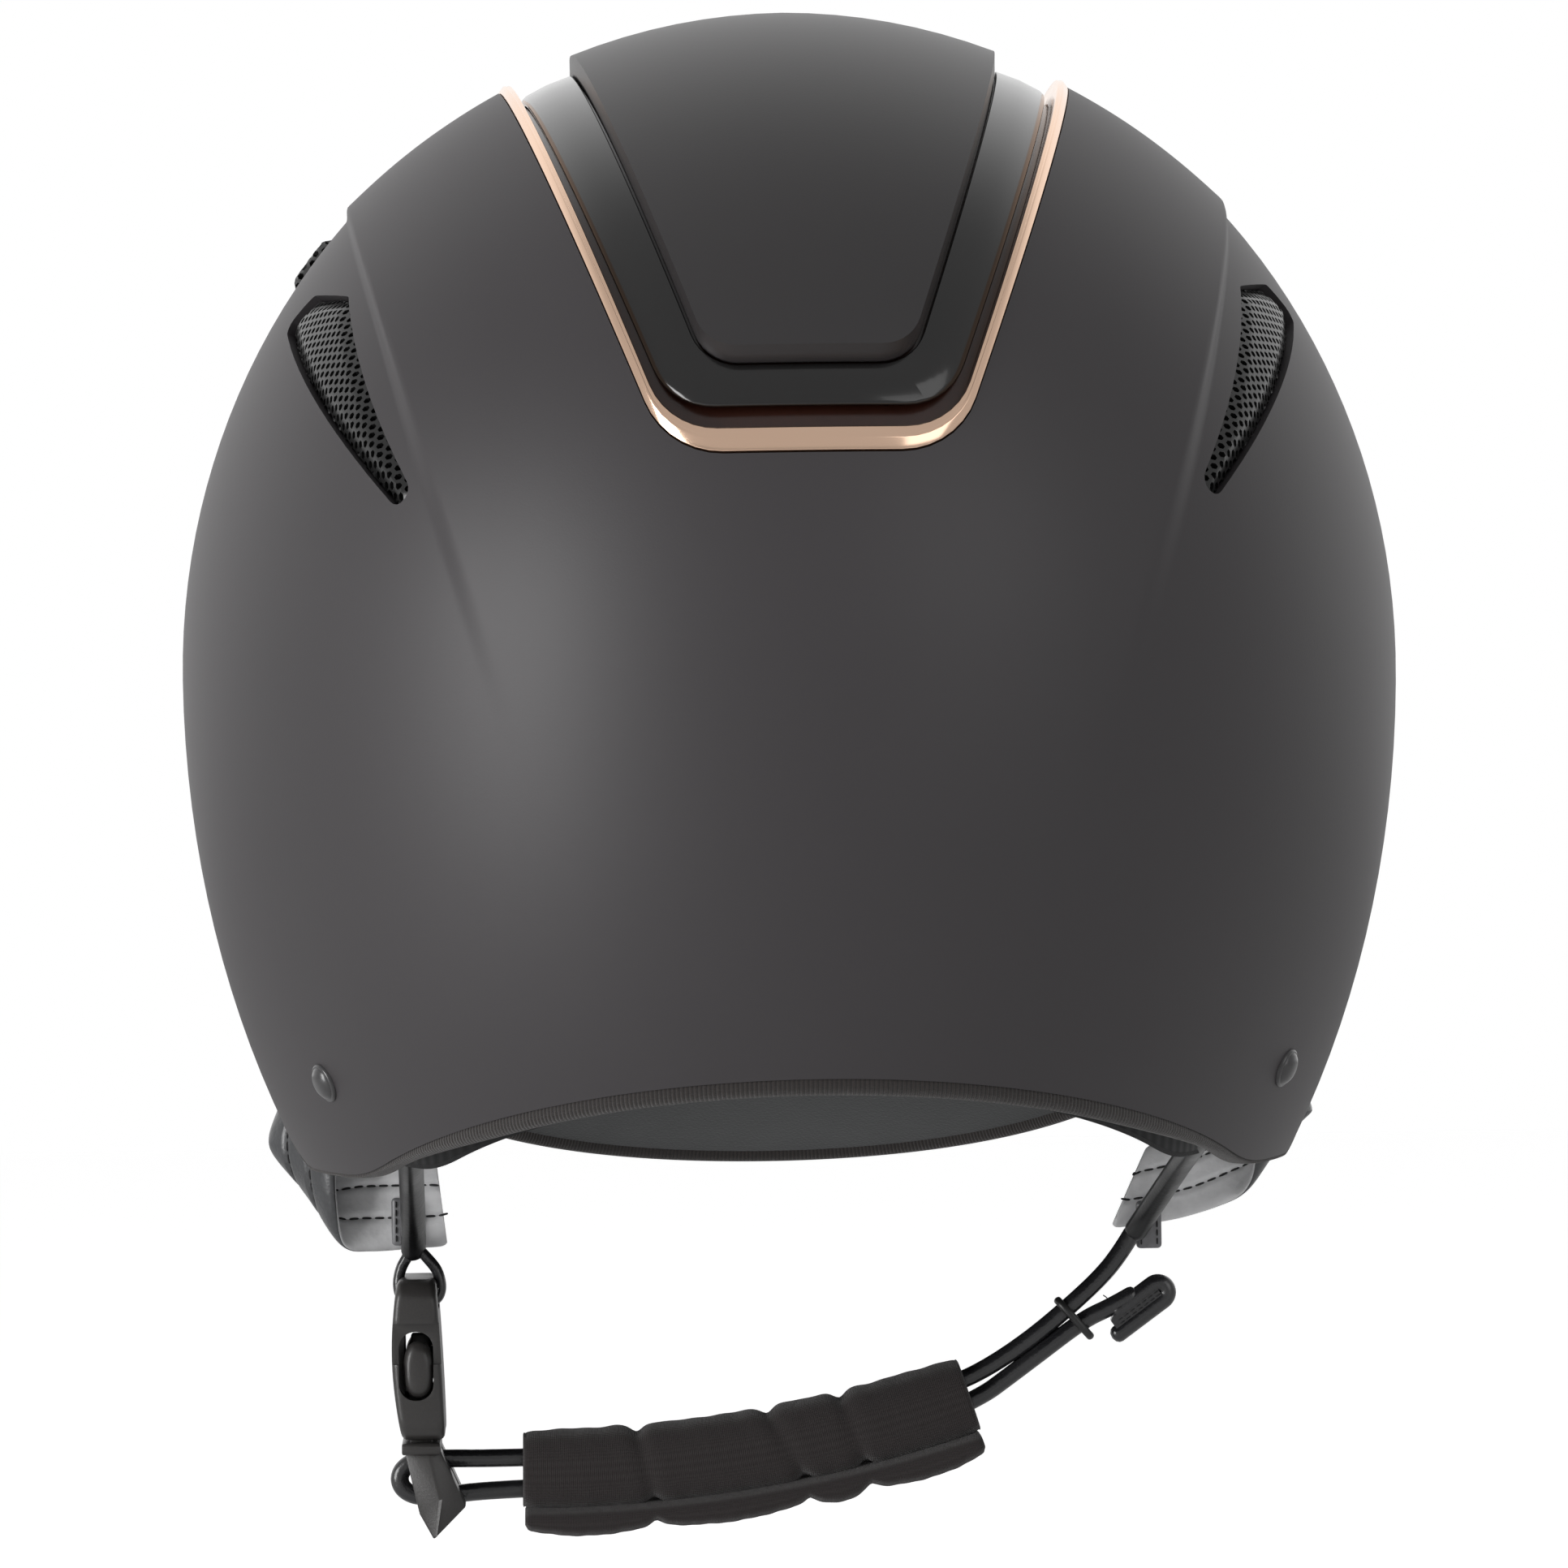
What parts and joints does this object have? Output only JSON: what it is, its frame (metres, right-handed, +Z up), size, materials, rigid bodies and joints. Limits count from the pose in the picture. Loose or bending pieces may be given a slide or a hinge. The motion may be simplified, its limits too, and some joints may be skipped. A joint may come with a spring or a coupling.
{
  "type": "equestrian riding helmet",
  "caption": "Riding helmet with a short front peak, a raised crown panel in a gloss frame with metallic trim, side mesh vents and a padded chin strap with a side-release buckle.",
  "frame": {"origin": "middle of the head opening, level with the lowest edge of the bound rim", "axes": "+X the wearer's right, +Y the wearer's gaze, +Z up"},
  "size_m": [0.225, 0.305, 0.2815],
  "materials": {
    "shell": "soft-touch matte black",
    "rose_gold": "polished rose-gold plating",
    "gloss_black": "piano black",
    "screen": "black hexagonal mesh",
    "foam": "expanded foam, black",
    "lining": "knitted comfort lining",
    "piping": "ribbed edge binding",
    "peak_fabric": "suede-like lining",
    "stud": "satin black snap cap",
    "leather": "black grained leather",
    "cord": "rolled shiny leather",
    "buckle": "dark grey moulded plastic",
    "ring": "black rubber",
    "pad_fabric": "black velvety knit"
  },
  "bodies": {
    "helmet": {"outer_shell": "shell", "crown_trim": "rose_gold", "crown_frame": "gloss_black", "crown_panel": "shell", "vent_screen_rear_left": "screen", "vent_screen_rear_right": "screen", "vent_screen_front_left": "screen", "vent_screen_front_right": "screen", "foam_liner": "foam", "forehead_band": "lining", "nape_pad": "lining", "crown_pad": "lining", "edge_binding": "piping", "peak_core": "shell", "peak_lining": "peak_fabric", "peak_binding": "piping", "rear_studs": "stud", "front_studs": "stud", "front_strap_left": "leather", "front_strap_right": "leather", "rear_strap_left": "leather", "rear_strap_right": "leather", "strap_tab_left": "leather", "strap_tab_right": "leather"},
    "chin_hanger": {"buckle_lace": "leather", "buckle_housing": "buckle"},
    "chin_strap": {"buckle_plug": "buckle", "chin_cord": "cord", "cord_end_fold": "leather"},
    "latch_rear": {"latch_arm_rear": "buckle"},
    "latch_front": {"latch_arm_front": "buckle"},
    "keeper": {"keeper_ring": "ring"},
    "chin_pad": {"chin_pad_sleeve": "pad_fabric", "chin_pad_cushion": "pad_fabric"}
  },
  "joints": [
    {"name": "chin_swing", "type": "hinge", "parent": "helmet", "child": "chin_hanger", "pos_m": [0, 0.008, -0.0147], "axis": [1, 0, 0], "range_deg": [-35, 50]},
    {"name": "buckle_release", "type": "slide", "parent": "chin_hanger", "child": "chin_strap", "axis": [0, 0, -1], "range_m": [0, 0.021], "deforming": ["latch_arm_rear", "latch_arm_front"]},
    {"name": "latch_rear_squeeze", "type": "hinge", "parent": "chin_strap", "child": "latch_rear", "pos_m": [-0.0704, 0.0009, -0.0498], "axis": [-1, 0, 0], "range_deg": [0, 13], "stiffness_Nm_per_rad": 0.04},
    {"name": "latch_front_squeeze", "type": "hinge", "parent": "chin_strap", "child": "latch_front", "pos_m": [-0.0704, 0.0151, -0.0498], "axis": [1, 0, 0], "range_deg": [0, 13], "stiffness_Nm_per_rad": 0.04},
    {"name": "keeper_slide", "type": "slide", "parent": "chin_strap", "child": "keeper", "axis": [0.749, 0, 0.6626], "range_m": [-0.002, 0.002]},
    {"name": "chin_pad_slide", "type": "hinge", "parent": "chin_strap", "child": "chin_pad", "pos_m": [-0.048, 0.008, 0.2036], "axis": [0, 1, 0], "range_deg": [-1, 1]}
  ]
}
